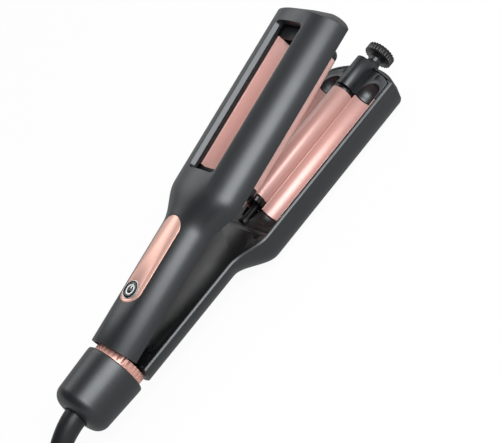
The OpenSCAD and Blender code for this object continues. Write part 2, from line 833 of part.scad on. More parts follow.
module lock_ring() {
    groove_w = 2 * PI * ring_r / ring_ribs * 0.4;
    color("#d9a39b") lower_arm() difference() {
        rod(ring_r, ring_back, ring_front, 0, axis_z);
        rod(neck_r + run_gap, ring_back - 1, ring_front + 1, 0, axis_z);
        for (i = [0:ring_ribs - 1]) translate([0, 0, axis_z]) rotate([360 * i / ring_ribs, 0, 0])
            box([ring_back + 0.8, -groove_w / 2, ring_r - 0.35], [ring_front + 1, groove_w / 2, ring_r + 1]);
    }
}

module tail_cap() {
    front = -cap_front;
    back = -cap_end;
    shell_in = cap_r - cap_wall;
    bore = swivel_r + 2.6;
    color("#3d4043") lower_arm() tail_turn() difference() {
        union() {
            polygon([
                [0, front], [cap_r - 0.5, front], [cap_r, front + 0.5], [cap_r, front + 3],
                [cap_rear_r, back - cap_round], [0, back - cap_round]
            ]);
            translate([cap_rear_r - cap_round, back - cap_round]) circle(r = cap_round);
            square_from(0, back - cap_round, cap_rear_r - cap_round, cap_round);
        }
        polygon([
            [0, front - 1], [shell_in, front - 1], [shell_in, front + 3],
            [cap_rear_r - cap_wall, back - cap_round], [cap_rear_r - cap_wall - 3.4, back - cap_wall],
            [0, back - cap_wall]
        ]);
        square_from(0, front, bore, back);
        translate([-50, 0]) square([50, 200]);
    }
}

module square_from(x, y, w, h) {
    translate([x, y]) square([w, h]);
}

// Disc inside the cap that the swivel turns in
module swivel_socket() {
    r = cap_rear_r - cap_wall - 0.6;
    color("#232426") lower_arm() difference() {
        rod(r, socket_x, socket_x + socket_t, 0, axis_z);
        rod(swivel_r + run_gap, socket_x - 1, socket_x + socket_t + 1, 0, axis_z);
    }
}

module swivel_core() {
    core_from = cap_end + core_gap;
    color("#141517") lower_arm() {
        rod(swivel_r, core_from, socket_x + socket_t + 0.3, 0, axis_z);
        rod(swivel_head_r, socket_x + socket_t + 0.3, socket_x + socket_t + 0.3 + swivel_head_t, 0, axis_z);
        rod(2.6, socket_x + socket_t + 2, socket_x + socket_t + 9, 0, axis_z);
    }
}

module contact_rings() {
    color("#c8a15a") lower_arm() for (i = [0, 1]) difference() {
        x = socket_x + socket_t + 3.6 + 2.6 * i;
        rod(ring_pair_d / 2, x, x + 1.2, 0, axis_z);
        rod(2.6, x - 1, x + 2, 0, axis_z);
    }
}

// ---------- Cord ----------

function unit(v) = v / norm(v);

// Direction of a route at its i-th point
function heading(p, i) =
    unit(p[min(i + 1, len(p) - 1)] - p[max(i - 1, 0)]);

// A ring of points round p, square to the heading h
function cord_ring(p, h, r, sides) =
    let (side = unit(cross([0, 0, 1], h)), up = cross(h, side))
    [for (j = [0:sides - 1])
        let (a = 360 * j / sides)
        p + side * r * cos(a) + up * r * sin(a)];

// A tube along a route whose radius runs from r0 to r1
module tube(route, r0, r1, sides) {
    m = len(route) - 1;
    loft([for (i = [0:m])
        cord_ring(route[i], heading(route, i), blend(r0, r1, i / m), sides)]);
}

module strain_relief() {
    color("#2b2d2f") translate(cord_exit) difference() {
        tube(boot_route, boot_d / 2, boot_end_d / 2, 16);
        rod(swivel_r, core_gap, boot_route[0].x + 1);
    }
}

module cord_lead() {
    route = [for (p = lead_route) cord_exit + p];
    tail = [for (p = plug_lead) [hank_x, 0, 0] + p];
    color("#2b2d2f") difference() {
        union() {
            tube(route, cord_d / 2, cord_d / 2, 10);
            tube(tail, cord_d / 2, cord_d / 2, 10);
        }
        hank_block();
    }
}

// Outline with two round ends, r from the line between the two folds
module fold_outline(r) {
    for (x = [-hank_run / 2, hank_run / 2]) translate([x, 0]) circle(r = r, $fn = 96);
    square_from(-hank_run / 2, -r, hank_run, 2 * r);
}

module hank_block() {
    translate([hank_x, 0, 0]) linear_extrude(hank_h) difference() {
        fold_outline(hank_r[1]);
        fold_outline(hank_r[0]);
    }
}

module cord_hank() {
    half = tie_w / 2 + seat_gap;
    color("#2b2d2f") difference() {
        hank_block();
        box([hank_x + tie_x - half, -hank_r[1] - 1, -1], [hank_x + tie_x + half, hank_r[1] + 1, tie_t]);
    }
}

// Strap round the waist of the hank
module cord_tie() {
    half = tie_w / 2;
    side = hank_r[1];
    color("#1a1b1c") translate([hank_x + tie_x, 0, 0]) difference() {
        box([-half, -side - tie_t, 0], [half, side + tie_t, hank_h + tie_t]);
        box([-tie_w, -side, tie_t], [tie_w, side, hank_h]);
    }
}

module on_plug() {
    translate(plug_from) rotate(180) children();
}

module plug_body() {
    color("#1f2123") on_plug() {
        rod(cord_d / 2, 0, 12);
        translate([10, -9, -cord_d / 2]) cube([plug_len - 10, 18, 11]);
    }
}

module plug_blades() {
    color("#c9ccd0") on_plug() for (y = [-6.35, 6.35])
        translate([plug_len, y - 0.75, -0.9]) cube([16, 1.5, 6.4]);
}

// ---------- Upper arm ----------

// Rounded outline of the window, grown by grow
module window_outline(grow) {
    r = window_r + grow;
    w = window_w / 2 + grow;
    for (x = [window_start - grow + r, window_end + grow - r]) for (y = [r - w, w - r])
        translate([x, y]) circle(r = r);
    square_from(window_start - grow + r, -w, window_len + 2 * grow - 2 * r, 2 * w);
    square_from(window_start - grow, r - w, window_len + 2 * grow, 2 * w - 2 * r);
}

function crown_at(y) = upper_head_h * pow(1 - pow(abs(y) / head_a, upper_n), 1 / upper_n);

module upper_shell() {
    lip_bottom = crown_at(window_w / 2) - window_lip;
    color("#3d4043") upper_arm() difference() {
        union() {
            mirror([0, 0, 1])
                arm_shell(upper_head_h, upper_n, -2 * upper_head_h, true, upper_tip_lean, upper_upright);
            window_lips(lip_bottom);
        }
        translate([0, 0, lip_bottom - 1]) linear_extrude(30) window_outline(0);
        bar(tip_front - 8, tip_front + 1) notch_profile();
        translate([0, 0, 6]) linear_extrude(20) trim_outline(0.05);
    }
}

// Walls that hang from the edge of the window
module window_lips(bottom) {
    w = window_w / 2;
    side_top = crown_at(w + lip_t) - 0.4;
    end_top = crown_at(w) - 0.4;
    both_sides() box([window_start - lip_t, w - 0.5, bottom], [window_end + lip_t, w + lip_t, side_top]);
    for (x = [window_start - lip_t, window_end - 0.5])
        box([x, -w - 0.5, bottom], [x + lip_t + 0.5, w + 0.5, end_top]);
}

module notch_profile() {
    intersection() {
        translate([0, notch_h - notch_r]) circle(r = notch_r);
        square_from(-20, 0, 40, 20);
    }
    square_from(-notch_r + 0.6, -1, 2 * notch_r - 1.2, 2);
}

// Oval outline of the trim seen from above, grown by grow
module trim_outline(grow) {
    r = trim_w / 2 + grow;
    mid = trim_w / 2;
    for (x = [trim_start + mid, trim_start + trim_len - mid]) translate([x, 0]) circle(r = r);
    square_from(trim_start + mid, -r, trim_len - 2 * mid, 2 * r);
}

// The crown of the handle as a curved strip between two depths, given as [y, z]
module crown_strip(outside, inside) {
    steps = 36;
    function arc(inset) = [for (i = [0:steps])
        let (t = 30 + 120 * i / steps)
        [(handle_a - inset) * cos(t), (handle_h - inset) * sin(t)]];
    outer = arc(outside);
    inner = arc(inside);
    polygon(concat(outer, [for (i = [steps:-1:0]) inner[i]]));
}

module control_trim() {
    color("#f0c0b0") upper_arm() difference() {
        intersection() {
            translate([0, 0, 4]) linear_extrude(30) trim_outline(0);
            bar(trim_start - 1, trim_start + trim_len + 1) crown_strip(-0.15, wall);
        }
        translate([button_x, 0, 0]) cylinder(d = button_d + 2 * bezel_t + 0.1, h = 40);
    }
}

module button_bezel() {
    color("#c9ccd0") upper_arm() difference() {
        translate([button_x, 0, crown_z - 2.2]) cylinder(d = button_d + 2 * bezel_t, h = 2.5);
        translate([button_x, 0, 0]) cylinder(d = button_d + 2 * pass_gap, h = 40);
    }
}

module power_button() {
    color("#1a1b1d") upper_arm() difference() {
        translate([button_x, 0, crown_z - button_h + 0.4]) union() {
            cylinder(d = button_d, h = button_h);
            translate([0, 0, -1]) cylinder(d = 3.6, h = 2);
        }
        translate([button_x, 0, crown_z + 0.4 - 0.3]) linear_extrude(1) rotate(-90) symbol(0.02);
    }
}

module symbol(grow) {
    w = 0.8 + 2 * grow;
    difference() {
        circle(r = 2.7 + w / 2);
        circle(r = 2.7 - w / 2);
        translate([-0.9 + grow, 0]) square([1.8 - 2 * grow, 6]);
    }
    translate([-w / 2, 0.6 - grow]) square([w, 2.9 + 2 * grow]);
}

module power_symbol() {
    color("#f2f2f2") upper_arm() translate([button_x, 0, crown_z + 0.4 - 0.3])
        linear_extrude(0.3) rotate(-90) symbol(0);
}

module upper_liner() {
    top = liner_drop + liner_t;
    color("#141517") upper_arm() difference() {
        union() {
            translate([0, 0, liner_drop]) linear_extrude(liner_t)
                polygon(cover_outline(upper_head_h, upper_n, wall + seat_gap, upper_liner_end, top));
            translate([cup_x, 0, -cup_hang]) cylinder(r = cup_r, h = cup_hang + cup_roof + 1);
            both_sides() for (x = board_post_x) translate([x, board_w / 2 - 3, top - e])
                cylinder(r = board_post_r, h = board_z - top + e);
        }
        translate([cup_x, 0, -cup_hang - 1]) cylinder(r = cup_bore_r, h = cup_hang + cup_roof + 1);
        box([-1, -tongue_w / 2 - 0.2, -1], [cup_x - cup_r - 0.8, tongue_w / 2 + 0.2, 10]);
        for (x = upper_screw_x) translate([x, 0, 0]) cylinder(d = screw_d + 2 * run_gap, h = 10);
    }
}

module upper_screws() {
    color("#8d8f92") upper_arm() for (x = upper_screw_x)
        translate([x, 0, liner_drop]) mirror([0, 0, 1]) pan_screw(upper_screw_len);
}

// Tongue that runs back from the handle to the hinge pin
module hinge_arm() {
    z = axis_z - rim_gap;
    color("#232426") upper_arm() difference() {
        union() {
            translate([0, tongue_w / 2, 0]) rotate([90, 0, 0]) linear_extrude(tongue_w) polygon([
                [pivot_x, z - tongue_r], [pivot_x, z + tongue_r], [tongue_bend, tongue_top],
                [tongue_end, tongue_top], [tongue_end, liner_drop + 0.2], [tongue_bend, 0.6]
            ]);
            translate([pivot_x, tongue_w / 2, z]) rotate([90, 0, 0]) cylinder(r = tongue_r, h = tongue_w);
            box([tongue_end - foot_len, -foot_half, liner_drop + liner_t],
                [tongue_end, foot_half, tongue_top + 2]);
        }
        translate([pivot_x, 10, z]) rotate([90, 0, 0]) cylinder(d = pin_d + 2 * run_gap, h = 20);
    }
}

// Black frame that carries both barrels below the window, with a deck that closes its front
module upper_chassis() {
    deck_top = deck_z + deck_t;
    deck_back = upper_tip_lean * deck_top / (upper_head_h - wall);
    inner_y = groove_y - barrel_r;
    rail_w = barrel_t + 0.1;
    top = crown_at(window_w / 2) - window_lip - 0.3;
    color("#1b1c1e") upper_arm() difference() {
        union() {
            both_sides() {
                box([plate_start, inner_y + rail_w, 0.4], [barrel_end, inner_y + rail_w + 1.4, top]);
                box([plate_start, inner_y + rail_w, 1.4], [barrel_end, head_a - wall - 1.6, 3.4]);
                box([barrel_end - 1, inner_y + rail_w, deck_z],
                    [barrel_end + 1, inner_y + rail_w + 1.4, deck_top]);
            }
            translate([0, 0, deck_z]) linear_extrude(deck_t)
                polygon(tip_outline(upper_head_h, upper_n, barrel_end + 0.4, deck_top, deck_back));
            box([plate_start - 2, 6 - head_a, 2.6], [plate_start, head_a - 6, 8]);
        }
        box([plate_start - 3, -inner_y, 0], [plate_start + 1, inner_y, 5]);
    }
}

// One upper barrel: a round bottom, an inner wall up to the window and a short outer wall
module barrel() {
    r = barrel_r;
    zc = -barrel_drop;
    bar(plate_start, barrel_end) difference() {
        union() {
            translate([0, zc]) circle(r = r);
            square_from(-r, zc, barrel_t, barrel_wall_h - zc);
            square_from(-r, zc, 2 * r, barrel_drop + 1);
        }
        translate([0, zc]) circle(r = r - barrel_t);
        square_from(-r + barrel_t, zc, 2 * r - 2 * barrel_t, 30);
    }
}

module barrel_left() {
    color("#d9a39b") upper_arm() translate([0, groove_y, 0]) barrel();
}

module barrel_right() {
    color("#d9a39b") upper_arm() mirror([0, 1, 0]) translate([0, groove_y, 0]) barrel();
}

// Rounded end of a barrel, turned about its own axis
module barrel_cap() {
    r = barrel_r - 0.1;
    flat_t = 1.6;
    nose = 4.2;
    rotate([0, 90, 0]) rotate_extrude() {
        square([r, flat_t]);
        translate([r - nose, flat_t]) intersection() {
            circle(r = nose);
            square(nose);
        }
        square([r - nose, flat_t + nose]);
    }
}

module barrel_caps_front() {
    color("#141517") upper_arm() both_sides()
        translate([barrel_end, groove_y, -barrel_drop]) barrel_cap();
}

module barrel_caps_rear() {
    color("#141517") upper_arm() both_sides()
        translate([plate_start, groove_y, -barrel_drop]) mirror([1, 0, 0]) barrel_cap();
}

module barrel_heaters() {
    r = barrel_r - barrel_t;
    color("#c9c4b8") upper_arm() both_sides()
        box([heater_from, groove_y - 2.6, -barrel_drop - 3.8], [heater_from + heater_len, groove_y + 2.6,
            -barrel_drop - 3.8 + heater_h]);
}

module thermal_fuse() {
    color("#e8e4da") upper_arm() rod(1.6, shoulder_end - 6, shoulder_end + 4, 10, liner_drop + liner_t + 1.6);
}

module circuit_board() {
    color("#2f6b3c") upper_arm() difference() {
        box([board_from, -board_w / 2, board_z], [board_from + board_len, board_w / 2, board_z + board_t]);
        for (x = upper_screw_x) translate([x, 0, 0]) cylinder(d = screw_d + 0.8, h = 20);
    }
}

module tact_switch() {
    z = board_z + board_t;
    stem_top = crown_z - button_h + 0.4 - 1 - button_travel - 0.05;
    color("#b9bcc0") upper_arm() {
        box([button_x - 3, -3, z], [button_x + 3, 3, z + switch_h - 1]);
        translate([button_x, 0, z + switch_h - 1 - e]) cylinder(d = 3, h = stem_top - z - switch_h + 1 + e);
    }
}

module status_led() {
    z = board_z + board_t;
    color("#dfe8f2") upper_arm() translate([button_x + 12, 0, z]) union() {
        cylinder(d = 3, h = 2.4);
        translate([0, 0, 2.4]) sphere(d = 3);
    }
}

lower_shell();
lower_liner();
lower_chassis();
groove_left();
groove_right();
groove_heaters();
rear_block();
tip_block();
tip_screws();
liner_screws();
middle_barrel();
middle_barrel_caps();
middle_barrel_core();
middle_heater();
guide_pins();
cam_shaft();
dial_bush();
depth_dial();
dial_arrows();
tail_frame();
hinge_pin();
opening_spring();
lock_ring();
tail_cap();
swivel_socket();
swivel_core();
contact_rings();
strain_relief();
cord_lead();
cord_hank();
cord_tie();
plug_body();
plug_blades();
upper_shell();
upper_liner();
upper_chassis();
barrel_left();
barrel_right();
barrel_caps_front();
barrel_caps_rear();
barrel_heaters();
thermal_fuse();
hinge_arm();
circuit_board();
tact_switch();
status_led();
control_trim();
button_bezel();
power_button();
power_symbol();
upper_screws();
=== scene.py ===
"""A hair waver lying half open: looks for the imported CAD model."""
import json
import math

import bmesh
import bpy
from mathutils import Matrix, Vector

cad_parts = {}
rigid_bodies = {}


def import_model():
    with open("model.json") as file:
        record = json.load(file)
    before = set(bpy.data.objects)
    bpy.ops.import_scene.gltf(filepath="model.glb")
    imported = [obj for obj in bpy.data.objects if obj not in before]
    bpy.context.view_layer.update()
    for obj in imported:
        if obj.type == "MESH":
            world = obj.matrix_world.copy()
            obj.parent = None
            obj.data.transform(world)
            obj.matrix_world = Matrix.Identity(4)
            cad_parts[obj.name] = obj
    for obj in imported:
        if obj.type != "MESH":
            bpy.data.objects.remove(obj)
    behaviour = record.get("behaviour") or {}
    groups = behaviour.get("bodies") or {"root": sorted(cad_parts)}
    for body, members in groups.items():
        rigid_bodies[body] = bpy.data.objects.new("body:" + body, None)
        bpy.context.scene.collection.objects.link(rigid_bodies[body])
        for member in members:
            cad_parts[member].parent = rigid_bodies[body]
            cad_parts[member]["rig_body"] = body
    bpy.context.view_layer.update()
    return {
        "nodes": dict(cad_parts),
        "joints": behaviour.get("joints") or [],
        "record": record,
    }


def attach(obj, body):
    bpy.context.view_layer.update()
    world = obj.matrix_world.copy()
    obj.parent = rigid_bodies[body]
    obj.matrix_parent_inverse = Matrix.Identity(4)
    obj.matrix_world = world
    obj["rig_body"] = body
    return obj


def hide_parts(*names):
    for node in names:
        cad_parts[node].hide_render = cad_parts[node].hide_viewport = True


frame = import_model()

MM = 0.001
NODES = frame["nodes"]
JOINTS = {joint["name"]: joint for joint in frame["joints"]}
SLOTS = {part["node"]: part["material_slot"] for part in frame["record"]["subparts"]}
scene = bpy.context.scene

# ---------- Camera ----------

LENS_MM = 120.39
CAMERA_AT = (-0.31220, -0.70167, 0.54354)
# Which way the camera's right side, its top and its back point
CAMERA_RIGHT = (0.6046, -0.6108, -0.5113)
CAMERA_UP = (0.7428, 0.2004, 0.6389)
CAMERA_BACK = (-0.2877, -0.7660, 0.5748)
NEAREST, FARTHEST = 0.01, 20

camera = bpy.data.objects.new("camera", bpy.data.cameras.new("camera"))
scene.collection.objects.link(camera)
camera.data.lens = LENS_MM
camera.data.clip_start, camera.data.clip_end = NEAREST, FARTHEST
# By way of a quaternion, which makes the rounded axes square to each other again
axes = Matrix((CAMERA_RIGHT, CAMERA_UP, CAMERA_BACK)).transposed().to_quaternion().to_matrix()
camera.matrix_world = Matrix.Translation(CAMERA_AT) @ axes.to_4x4()
scene.camera = camera

# ---------- Materials ----------

WHITE = (1.0, 1.0, 1.0, 1.0)
COOL_SHEEN = (0.92, 0.96, 1.0, 1.0)
# A Mix node has its sockets once for each kind of value, under the same names
MIX_FACTOR, MIX_A, MIX_B = 0, 2, 3
MIX_COLOUR_A, MIX_COLOUR_B, MIX_COLOUR_RESULT = 6, 7, 2
# Noise lies mostly between these values
NOISE_LOW, NOISE_HIGH = 0.3, 0.7
WEAR_MM = 9.0


def linear(hex_colour):
    """An sRGB hex colour as linear RGBA."""
    channels = [int(hex_colour[i:i + 2], 16) / 255 for i in (1, 3, 5)]
    return tuple(
        c / 12.92 if c <= 0.04045 else ((c + 0.055) / 1.055) ** 2.4 for c in channels
    ) + (1.0,)


def add_node(tree, kind, links=(), inputs=None, **settings):
    """Adds a shader node. links are (input, other node, its output); inputs are plain values."""
    made = tree.nodes.new(kind)
    for name, value in settings.items():
        setattr(made, name, value)
    for name, value in (inputs or {}).items():
        made.inputs[name].default_value = value
    for name, other, output in links:
        tree.links.new(other.outputs[output], made.inputs[name])
    return made


def empty_tree(owner):
    """The node tree of a material or world, with nothing in it."""
    owner.use_nodes = True
    owner.node_tree.nodes.clear()
    return owner.node_tree


def finish_of(name, colour, roughness, metallic=0.0, grain_mm=0.5, bump_mm=0.004, mottle=0.06,
              streak=(1, 1, 1), coat=0.0, coat_roughness=0.1, specular=0.5, sheen_tint=WHITE):
    """A moulded, coated or metal finish: a fine surface grain, and wear in its gloss and colour."""
    made = bpy.data.materials.new(name)
    tree = empty_tree(made)
    place = add_node(tree, "ShaderNodeTexCoord")
    along = add_node(tree, "ShaderNodeMapping", [("Vector", place, "Object")],
                     {"Scale": streak})
    grain = add_node(tree, "ShaderNodeTexNoise", [("Vector", along, "Vector")],
                     {"Scale": 1 / (grain_mm * MM), "Detail": 2.0, "Roughness": 0.6})
    bump = add_node(tree, "ShaderNodeBump", [("Height", grain, "Fac")],
                    {"Strength": 1.0, "Distance": bump_mm * MM})
    wear = add_node(tree, "ShaderNodeTexNoise", [("Vector", place, "Object")],
                    {"Scale": 1 / (WEAR_MM * MM), "Detail": 4.0})
    gloss = add_node(tree, "ShaderNodeMapRange", [("Value", wear, "Fac")], {
        "From Min": NOISE_LOW, "From Max": NOISE_HIGH,
        "To Min": roughness * (1 - mottle), "To Max": roughness * (1 + mottle)})
    worn = tuple(c * (1 - mottle) for c in linear(colour)[:3]) + (1.0,)
    tint = add_node(tree, "ShaderNodeMix", [("Factor", wear, "Fac")],
                    {MIX_COLOUR_A: worn, MIX_COLOUR_B: linear(colour)}, data_type="RGBA")
    shader = add_node(tree, "ShaderNodeBsdfPrincipled", [
        ("Base Color", tint, MIX_COLOUR_RESULT), ("Roughness", gloss, "Result"),
        ("Normal", bump, "Normal"),
    ], {"Metallic": metallic, "Coat Weight": coat, "Coat Roughness": coat_roughness,
        "Specular IOR Level": specular, "Specular Tint": sheen_tint})
    add_node(tree, "ShaderNodeOutputMaterial", [("Surface", shader, "BSDF")])
    return made


shell_abs = finish_of("moulded satin ABS", "#141619", 0.4, grain_mm=0.45, bump_mm=0.002,
                      mottle=0.03, specular=1.0, sheen_tint=COOL_SHEEN)
lining_abs = finish_of("moulded gloss ABS", "#101113", 0.36, grain_mm=1.2, bump_mm=0.002,
                       specular=0.7)
block_pa = finish_of("moulded black PA", "#0f1012", 0.42, grain_mm=0.6, bump_mm=0.003)
frame_pbt = finish_of("moulded matt PBT", "#222426", 0.5, bump_mm=0.006)
cap_pbt = finish_of("polished black PBT", "#141416", 0.18, grain_mm=0.8, bump_mm=0.002)
plate_ceramic = finish_of("ceramic-coated aluminium", "#dcada5", 0.4, metallic=0.25,
                          grain_mm=0.8, bump_mm=0.001, mottle=0.03, coat=1.0,
                          coat_roughness=0.33)
# Painted shade: a black for the outer sides of the groove sheets, standing in for the shadow in the
# gap beside the lower rim
gap_shade_black = finish_of("painted gap shade", "#101112", 0.5, bump_mm=0.003)
trim_metallised = finish_of("metallised satin ABS", "#f0bfb1", 0.34, metallic=0.6,
                            grain_mm=2.0, bump_mm=0.001, mottle=0.02)
ring_aluminium = finish_of("anodised aluminium", "#e2aea2", 0.42, metallic=0.5,
                           grain_mm=0.4, bump_mm=0.003)
heater_aluminium = finish_of("extruded aluminium", "#b9b6ae", 0.4, metallic=1.0, grain_mm=0.6,
                             streak=(0.1, 1, 1))
steel = finish_of("zinc-plated steel", "#8e9194", 0.35, metallic=1.0, grain_mm=0.4,
                  bump_mm=0.003)
dark_steel = finish_of("blackened steel", "#26282a", 0.45, metallic=0.7, grain_mm=0.4,
                       bump_mm=0.003)
dial_abs = finish_of("moulded black ABS", "#101113", 0.36, bump_mm=0.003, specular=0.8)
rose_print = finish_of("hot-stamped foil", "#dda294", 0.3, metallic=0.8, bump_mm=0.001)
cord_pvc = finish_of("extruded PVC", "#1c1d20", 0.36, grain_mm=0.7, bump_mm=0.006)
plug_pvc = finish_of("moulded PVC", "#232528", 0.42, bump_mm=0.006)
tie_nylon = finish_of("nylon hook tape", "#17181a", 0.85, grain_mm=0.7, bump_mm=0.25)
brass = finish_of("turned brass", "#b8934e", 0.3, metallic=1.0, grain_mm=0.4, bump_mm=0.002)
nickel = finish_of("nickel-plated brass", "#c9ccd0", 0.22, metallic=1.0, grain_mm=0.6,
                   bump_mm=0.001)
fuse_ceramic = finish_of("glazed steatite", "#e6e2d6", 0.25, grain_mm=0.8, bump_mm=0.002)
board_fr4 = finish_of("solder-masked FR4", "#23603a", 0.35, grain_mm=0.7)
lamp_pc = finish_of("clear polycarbonate", "#cfdbe6", 0.1, grain_mm=1.0, bump_mm=0.001)
bezel_chrome = finish_of("chromed ABS", "#d5d8dc", 0.12, metallic=1.0, grain_mm=1.0,
                         bump_mm=0.001)
button_abs = finish_of("polished black ABS", "#17181a", 0.16, grain_mm=1.2, bump_mm=0.001)
symbol_ink = finish_of("white pad-print ink", "#eceeef", 0.45, grain_mm=0.4, bump_mm=0.002)

# ---------- Work on meshes ----------

MERGE_MM = 0.002
FLAT_DEG = 0.3
SHARP_DEG = 30
SMOOTH_DEG = 32
CORNER_DEG = 38


def activate(piece):
    """Selects one piece and nothing else, and makes it the active one."""
    bpy.ops.object.select_all(action="DESELECT")
    piece.select_set(True)
    bpy.context.view_layer.objects.active = piece


def shade(piece, angle=SMOOTH_DEG):
    """Shades a piece smooth, but keeps edges that turn by more than the angle."""
    activate(piece)
    bpy.ops.object.shade_smooth_by_angle(angle=math.radians(angle))


def mesh_piece(name, points, faces):
    """A new piece from its points and faces."""
    mesh = bpy.data.meshes.new(name)
    mesh.from_pydata(points, [], faces)
    mesh.update()
    piece = bpy.data.objects.new(name, mesh)
    scene.collection.objects.link(piece)
    return piece


def seat(piece, body, slot, material, *nodes):
    """Puts a finished piece on its body in place of CAD nodes."""
    piece.data.materials.clear()
    piece.data.materials.append(material)
    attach(piece, body)
    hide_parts(*nodes)
    return piece


def merge(piece):
    """Joins points that coincide and faces that lie in one plane."""
    activate(piece)
    bpy.ops.object.mode_set(mode="EDIT")
    bpy.ops.mesh.select_all(action="SELECT")
    bpy.ops.mesh.remove_doubles(threshold=MERGE_MM * MM)
    bpy.ops.mesh.dissolve_limited(angle_limit=math.radians(FLAT_DEG))
    bpy.ops.object.mode_set(mode="OBJECT")


def select_none(piece, kind):
    """Empties the selection in a piece's mesh, for edges or faces to be chosen next."""
    activate(piece)
    bpy.ops.object.mode_set(mode="EDIT")
    bpy.ops.mesh.select_mode(type=kind)
    bpy.ops.mesh.select_all(action="DESELECT")
    bpy.ops.object.mode_set(mode="OBJECT")


def cut_edges(piece, wanted, width_mm, segments):
    """Bevels the sharp edges for which wanted(middle, one face normal, the other) holds."""
    select_none(piece, "EDGE")
    mesh = bmesh.new()
    mesh.from_mesh(piece.data)
    for edge in mesh.edges:
        if len(edge.link_faces) != 2 or edge.calc_face_angle() < math.radians(SHARP_DEG):
            continue
        middle = (edge.verts[0].co + edge.verts[1].co) / 2
        one, other = (face.normal for face in edge.link_faces)
        if wanted(middle, one, other) or wanted(middle, other, one):
            piece.data.edges[edge.index].select = True
    mesh.free()
    bpy.ops.object.mode_set(mode="EDIT")
    bpy.ops.mesh.bevel(offset=width_mm * MM, segments=segments, affect="EDGES",
                       clamp_overlap=False)
    bpy.ops.object.mode_set(mode="OBJECT")


def round_corners(piece, width_mm, segments):
    """Bevels every edge that turns by more than the corner angle."""
    activate(piece)
    rounding = piece.modifiers.new("rounding", "BEVEL")
    rounding.width = width_mm * MM
    rounding.segments = segments
    rounding.limit_method = "ANGLE"
    rounding.angle_limit = math.radians(CORNER_DEG)
    bpy.ops.object.modifier_apply(modifier=rounding.name)


def dressed(node, material, edge_mm, segments, cuts=(), shift=None):
    """A merged copy of a CAD node with rounded corners, shown in its place.

    shift changes the copy first. cuts lists bevels as cut_edges takes them.
    """
    piece = NODES[node].copy()
    piece.data = NODES[node].data.copy()
    piece.name = piece.data.name = node + "_finished"
    # The frame's marks and its body stay with the node itself
    for key in list(piece.keys()):
        del piece[key]
    piece.parent = None
    scene.collection.objects.link(piece)
    merge(piece)
    if shift:
        shift(piece)
    for cut in cuts:
        cut_edges(piece, *cut)
    round_corners(piece, edge_mm, segments)
    shade(piece)
    return seat(piece, NODES[node]["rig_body"], SLOTS[node], material, node)


# ---------- Cord and its boot ----------

CORD_D = 6.5 * MM
CORD_EXIT = Vector((-191.95, 0, 24.8)) * MM
CORD_SIDES, CORD_SPAN_PARTS = 16, 2
# The boot starts this far inside the tail
BOOT_IN = 3 * MM
BOOT_R, BOOT_END_R = 13.3 / 2 * MM, 8.6 / 2 * MM
BOOT_TAPER = 1.3
BOOT_SIDES, BOOT_SPAN_PARTS = 32, 4
TUBE_SMOOTH_DEG = 40
# Points in mm from the exit
BOOT_POINTS = [
    (0, 0, 0), (-4, 0, -0.5), (-8, 0, -1.4), (-12, 0, -2.7), (-16, 0, -4.4),
    (-20, 0, -6.4), (-24, 0, -8.6), (-28, 0, -10.9), (-32, 0, -13.1), (-36, 0, -15.1),
]
LEAD_POINTS = [
    (-40, 0, -17.1), (-44, 0, -18.7), (-48, 0, -19.8), (-53, 0, -20.7), (-60, 0.6, -21.2),
    (-66.7, 2.4, -21.45), (-73, 5.4, -21.55), (-79, 9.4, -21.55), (-86.2, 15, -21.55),
    (-92.6, 20, -21.55), (-98, 23.4, -21.55), (-104, 25.5, -21.55),
]
# The hank: straight runs between two folds, in an outer and an inner column of three layers
HANK_AT = Vector((-346, 0, 0)) * MM
HALF_RUN = 45 * MM
FOLD_IN, FOLD_OUT = 19.5 * MM, 26 * MM
LAYERS = [CORD_D * (k + 0.5) for k in range(3)]
RUN_PARTS = 9
FOLD_STEP_DEG = 15
# A front fold reaches its new height within this angle
FRONT_CLIMB_DEG = 105
# Points in mm from the middle of the hank
PLUG_LEAD_POINTS = [
    (43, 19.5, 3.25), (36.8, 18.8, 3.4), (30.8, 16.9, 3.8), (25.4, 13.8, 4.1),
    (20.9, 9.8, 4.2), (16.4, 5.7, 4.2), (11, 2.6, 4.1), (5, 0.7, 3.5), (-1.2, 0, 3.25),
    (-6, 0, 3.25),
]


def between(a, b, t):
    """From a to b as t goes from 0 to 1, with a soft start and end, and level beyond them."""
    t = max(0.0, min(1.0, t))
    return a + (b - a) * t * t * (3 - 2 * t)


def hank_loop(left, right, change, top):
    """One loop: the left run, the rear fold, the right run and the front fold.

    left and right are each run's (distance from the middle, height). The right run gets from
    one to the other over the stretch called change, and the front fold climbs to top.
    """
    (r, z), (r_right, z_right) = left, right
    line = []
    for k in range(RUN_PARTS):
        line.append((HALF_RUN * (1 - 2 * k / RUN_PARTS), r, z))
    for angle in range(90, 270, FOLD_STEP_DEG):
        a = math.radians(angle)
        line.append((-HALF_RUN + r * math.cos(a), r * math.sin(a), z))
    for k in range(RUN_PARTS):
        t = k / RUN_PARTS
        part = (t - change[0]) / (change[1] - change[0])
        line.append((HALF_RUN * (2 * t - 1), -between(r, r_right, part),
                     between(z, z_right, part)))
    for angle in range(270, 450, FOLD_STEP_DEG):
        a = math.radians(angle)
        line.append((HALF_RUN + r_right * math.cos(a), r_right * math.sin(a),
                     between(z_right, top, (angle - 270) / FRONT_CLIMB_DEG)))
    return line


def hank_route():
    """Three loops in the outer column on the way up, then two in the inner one, going down."""
    low, mid, top = LAYERS
    loops = [
        ((FOLD_OUT, low), (FOLD_OUT, low), (0, 1), mid),
        ((FOLD_OUT, mid), (FOLD_OUT, mid), (0, 1), top),
        ((FOLD_OUT, top), (FOLD_IN, top), (0.3, 1), top),
        ((FOLD_IN, top), (FOLD_IN, mid), (0, 0.5), mid),
        ((FOLD_IN, mid), (FOLD_IN, low), (0, 0.5), low),
    ]
    return [HANK_AT + Vector(p) for loop in loops for p in hank_loop(*loop)]


